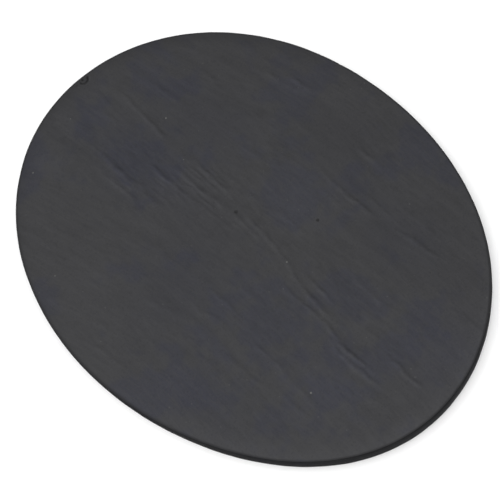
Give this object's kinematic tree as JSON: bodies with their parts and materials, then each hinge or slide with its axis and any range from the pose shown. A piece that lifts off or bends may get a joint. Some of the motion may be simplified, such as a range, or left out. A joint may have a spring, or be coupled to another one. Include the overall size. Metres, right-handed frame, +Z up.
{
  "type": "flat oval massage stone",
  "caption": "Thin, flat, oval slab of dark grey basalt with a ground rim and eased edges, laid or drawn over the body for hot or cold stone massage.",
  "frame": {"origin": "centre of the footprint's box, on the plane that the stone rests on", "axes": "+Z up out of the top face, +X along the stone's length, +Y across its width"},
  "size_m": [0.1446, 0.115, 0.0085],
  "materials": {
    "basalt": "honed satin, near-black grey, fine grained with faint parallel grinding lines"
  },
  "bodies": {
    "root": {"stone": "basalt"}
  },
  "joints": []
}
